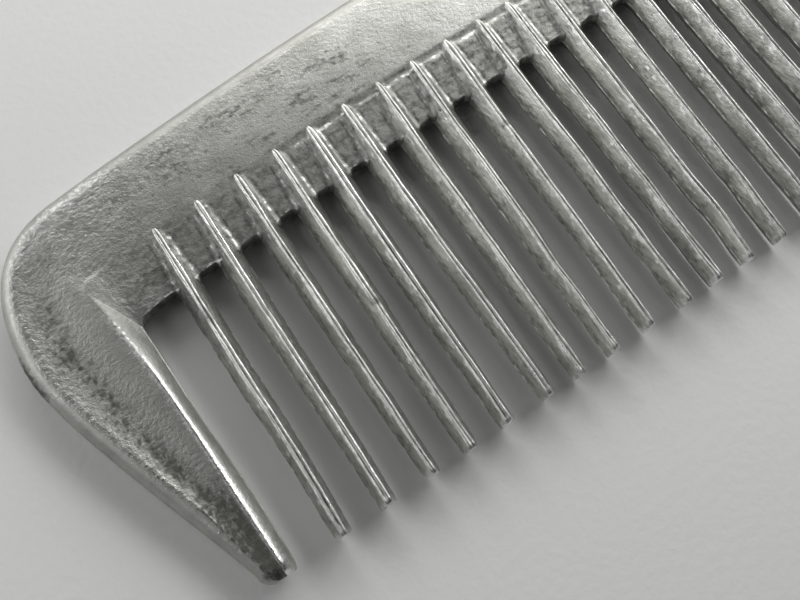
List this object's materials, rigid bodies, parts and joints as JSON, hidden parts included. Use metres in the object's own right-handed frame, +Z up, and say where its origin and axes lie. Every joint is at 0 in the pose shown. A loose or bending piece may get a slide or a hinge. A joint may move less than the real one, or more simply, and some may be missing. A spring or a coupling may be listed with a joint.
{
  "type": "grooming comb",
  "caption": "One-piece cast metal mane and coat comb: arched spine, row of tapering ridged teeth, broad guard tooth at each end.",
  "frame": {"origin": "centre of the comb's bounding box in plan, on the plane of its lower face", "axes": "+X along the row of teeth, +Y from the tooth tips to the back, +Z up through the thickness"},
  "size_m": [0.2288, 0.0588, 0.0044],
  "materials": {
    "cast_aluminium": "as-cast satin, grain in the corners, worn bright on the tooth crests"
  },
  "bodies": {
    "root": {"spine": "cast_aluminium", "end_tooth_left": "cast_aluminium", "end_tooth_right": "cast_aluminium", "tooth_01": "cast_aluminium", "tooth_02": "cast_aluminium", "tooth_03": "cast_aluminium", "tooth_04": "cast_aluminium", "tooth_05": "cast_aluminium", "tooth_06": "cast_aluminium", "tooth_07": "cast_aluminium", "tooth_08": "cast_aluminium", "tooth_09": "cast_aluminium", "tooth_10": "cast_aluminium", "tooth_11": "cast_aluminium", "tooth_12": "cast_aluminium", "tooth_13": "cast_aluminium", "tooth_14": "cast_aluminium", "tooth_15": "cast_aluminium", "tooth_16": "cast_aluminium", "tooth_17": "cast_aluminium", "tooth_18": "cast_aluminium", "tooth_19": "cast_aluminium", "tooth_20": "cast_aluminium", "tooth_21": "cast_aluminium", "tooth_22": "cast_aluminium", "tooth_23": "cast_aluminium", "tooth_24": "cast_aluminium", "tooth_25": "cast_aluminium", "tooth_26": "cast_aluminium", "tooth_27": "cast_aluminium", "tooth_28": "cast_aluminium", "tooth_29": "cast_aluminium", "tooth_30": "cast_aluminium", "tooth_31": "cast_aluminium", "tooth_32": "cast_aluminium", "tooth_33": "cast_aluminium", "tooth_34": "cast_aluminium", "tooth_35": "cast_aluminium", "tooth_36": "cast_aluminium"}
  },
  "joints": []
}
